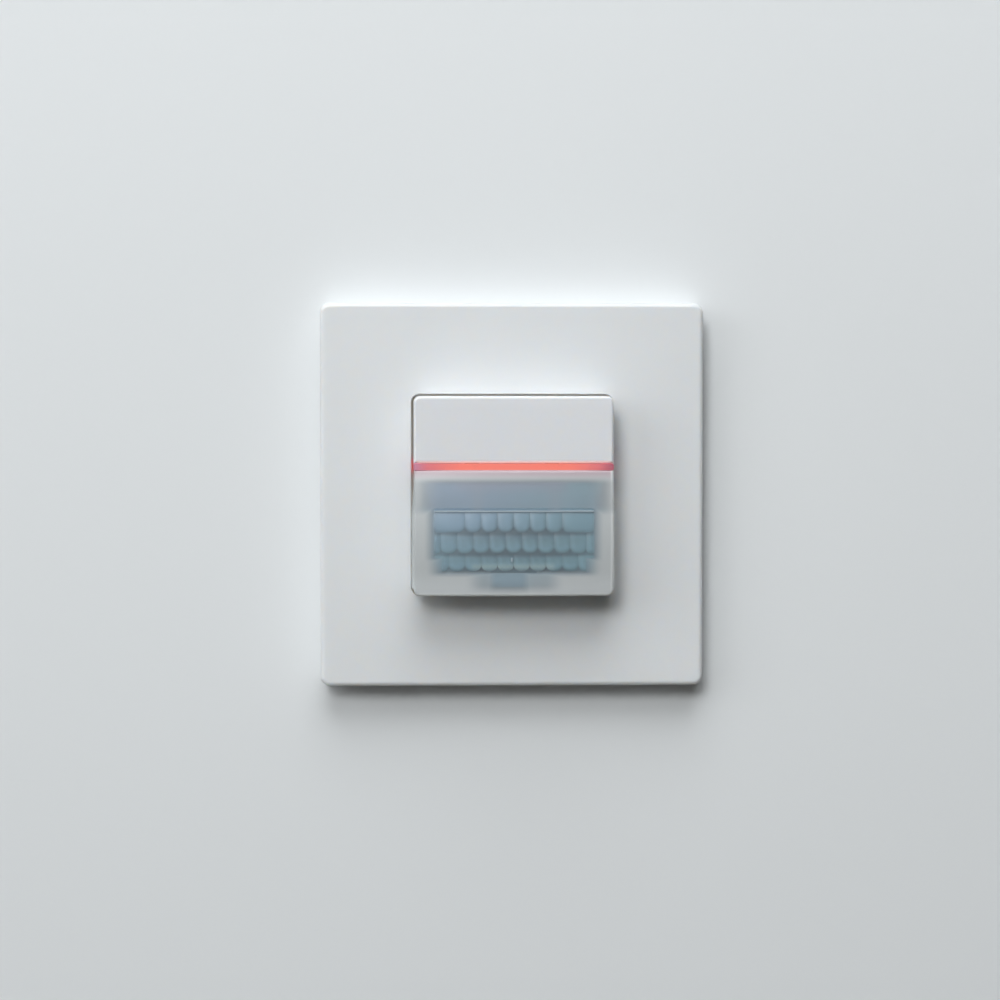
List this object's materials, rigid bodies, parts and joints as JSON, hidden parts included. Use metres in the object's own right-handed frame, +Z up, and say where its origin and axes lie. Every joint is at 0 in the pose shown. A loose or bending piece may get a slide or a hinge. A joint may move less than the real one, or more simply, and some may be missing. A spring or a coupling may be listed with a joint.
{
  "type": "motion sensor light switch",
  "caption": "Square wall switch with a lens-covered motion sensor, a lit bar and a press cap on a plate, with a round flush-box insert behind.",
  "frame": {"origin": "middle of the plate on the wall's plane, midway between the box screws", "axes": "+Z up, +X right as seen from the room, +Y into the wall"},
  "size_m": [0.088, 0.0539, 0.088],
  "materials": {
    "frame_plastic": "satin moulded white",
    "head_plastic": "satin moulded white",
    "lens_milky": "milky translucent, satin",
    "lens_segments": "fine grooved, translucent",
    "light_bar": "clear, lit from behind",
    "inner_white": "plain moulded",
    "board_green": "lacquered laminate",
    "black_plastic": "plain moulded",
    "dark_housing": "fine textured moulded",
    "zinc_steel": "zinc plated sheet",
    "bright_metal": "plated",
    "copper": "plain sheet",
    "spring_steel": "bright drawn wire",
    "terminal_white": "plain moulded",
    "key_orange": "plain moulded",
    "dial_yellow": "plain moulded",
    "blue_coating": "dipped coating",
    "capacitor_sleeve": "shrunk sleeve",
    "film_yellow": "moulded box",
    "filter_glass": "dark filter",
    "led_clear": "lit lamp",
    "ferrite": "sintered",
    "winding": "lacquered wire",
    "socket_black": "plain moulded",
    "sensor_clear": "clear resin",
    "ceramic_chip": "sintered"
  },
  "bodies": {
    "switch_body": {"cover_frame": "frame_plastic", "light_guide_bar": "light_bar", "lens_cover": "lens_milky", "fresnel_lens": "lens_segments", "sensor_base": "inner_white", "carrier": "inner_white", "sensor_board": "board_green", "board_screws": "zinc_steel", "pir_can": "bright_metal", "pir_window": "filter_glass", "pir_pins": "bright_metal", "light_sensor": "sensor_clear", "status_leds": "led_clear", "controller_chip": "black_plastic", "board_capacitors": "ceramic_chip", "push_switch_body": "black_plastic", "button_springs": "spring_steel", "time_trimmer": "inner_white", "brightness_trimmer": "inner_white", "range_trimmer": "inner_white", "header_strip": "socket_black", "header_pins": "bright_metal", "mounting_plate": "zinc_steel", "rear_housing": "dark_housing", "flange_rivets": "zinc_steel", "housing_lid": "dark_housing", "lid_screws": "zinc_steel", "board_socket": "socket_black", "power_board": "board_green", "relay": "black_plastic", "film_capacitor": "film_yellow", "electrolytic_capacitor": "capacitor_sleeve", "choke_core": "ferrite", "choke_winding": "winding", "varistor": "blue_coating", "fuse": "black_plastic", "rectifier": "black_plastic", "regulator_chip": "black_plastic", "terminal_block": "terminal_white", "terminal_cages": "copper", "terminal_springs": "spring_steel"},
    "button": {"button_cap": "head_plastic"},
    "switch_stem": {"push_switch_stem": "black_plastic"},
    "time_rotor": {"time_dial": "dial_yellow"},
    "brightness_rotor": {"brightness_dial": "dial_yellow"},
    "range_rotor": {"range_dial": "dial_yellow"},
    "release_key_1": {"terminal_release_1": "key_orange"},
    "release_key_2": {"terminal_release_2": "key_orange"},
    "release_key_3": {"terminal_release_3": "key_orange"},
    "release_key_4": {"terminal_release_4": "key_orange"}
  },
  "joints": [
    {"name": "button_press", "type": "slide", "parent": "switch_body", "child": "button", "axis": [0, 1, 0], "range_m": [0, 0.0006], "stiffness_N_per_m": 900, "springref_m": -0.0012, "deforming": ["button_springs"]},
    {"name": "switch_stem_press", "type": "slide", "parent": "switch_body", "child": "switch_stem", "axis": [0, 1, 0], "range_m": [0, 0.0006]},
    {"name": "time_turn", "type": "hinge", "parent": "switch_body", "child": "time_rotor", "pos_m": [-0.011, -0.0089, 0.017], "axis": [0, -1, 0], "range_deg": [-135, 135]},
    {"name": "brightness_turn", "type": "hinge", "parent": "switch_body", "child": "brightness_rotor", "pos_m": [0, -0.0089, 0.017], "axis": [0, -1, 0], "range_deg": [-135, 135]},
    {"name": "range_turn", "type": "hinge", "parent": "switch_body", "child": "range_rotor", "pos_m": [0.011, -0.0089, 0.017], "axis": [0, -1, 0], "range_deg": [-135, 135]},
    {"name": "release_key_1_press", "type": "slide", "parent": "switch_body", "child": "release_key_1", "axis": [0, -1, 0], "range_m": [0, 0.0015], "stiffness_N_per_m": 600, "springref_m": -0.0008},
    {"name": "release_key_2_press", "type": "slide", "parent": "switch_body", "child": "release_key_2", "axis": [0, -1, 0], "range_m": [0, 0.0015], "stiffness_N_per_m": 600, "springref_m": -0.0008},
    {"name": "release_key_3_press", "type": "slide", "parent": "switch_body", "child": "release_key_3", "axis": [0, -1, 0], "range_m": [0, 0.0015], "stiffness_N_per_m": 600, "springref_m": -0.0008},
    {"name": "release_key_4_press", "type": "slide", "parent": "switch_body", "child": "release_key_4", "axis": [0, -1, 0], "range_m": [0, 0.0015], "stiffness_N_per_m": 600, "springref_m": -0.0008}
  ],
  "couplings": [
    {"joint": "switch_stem_press", "follows": "button_press", "ratio": 1}
  ]
}
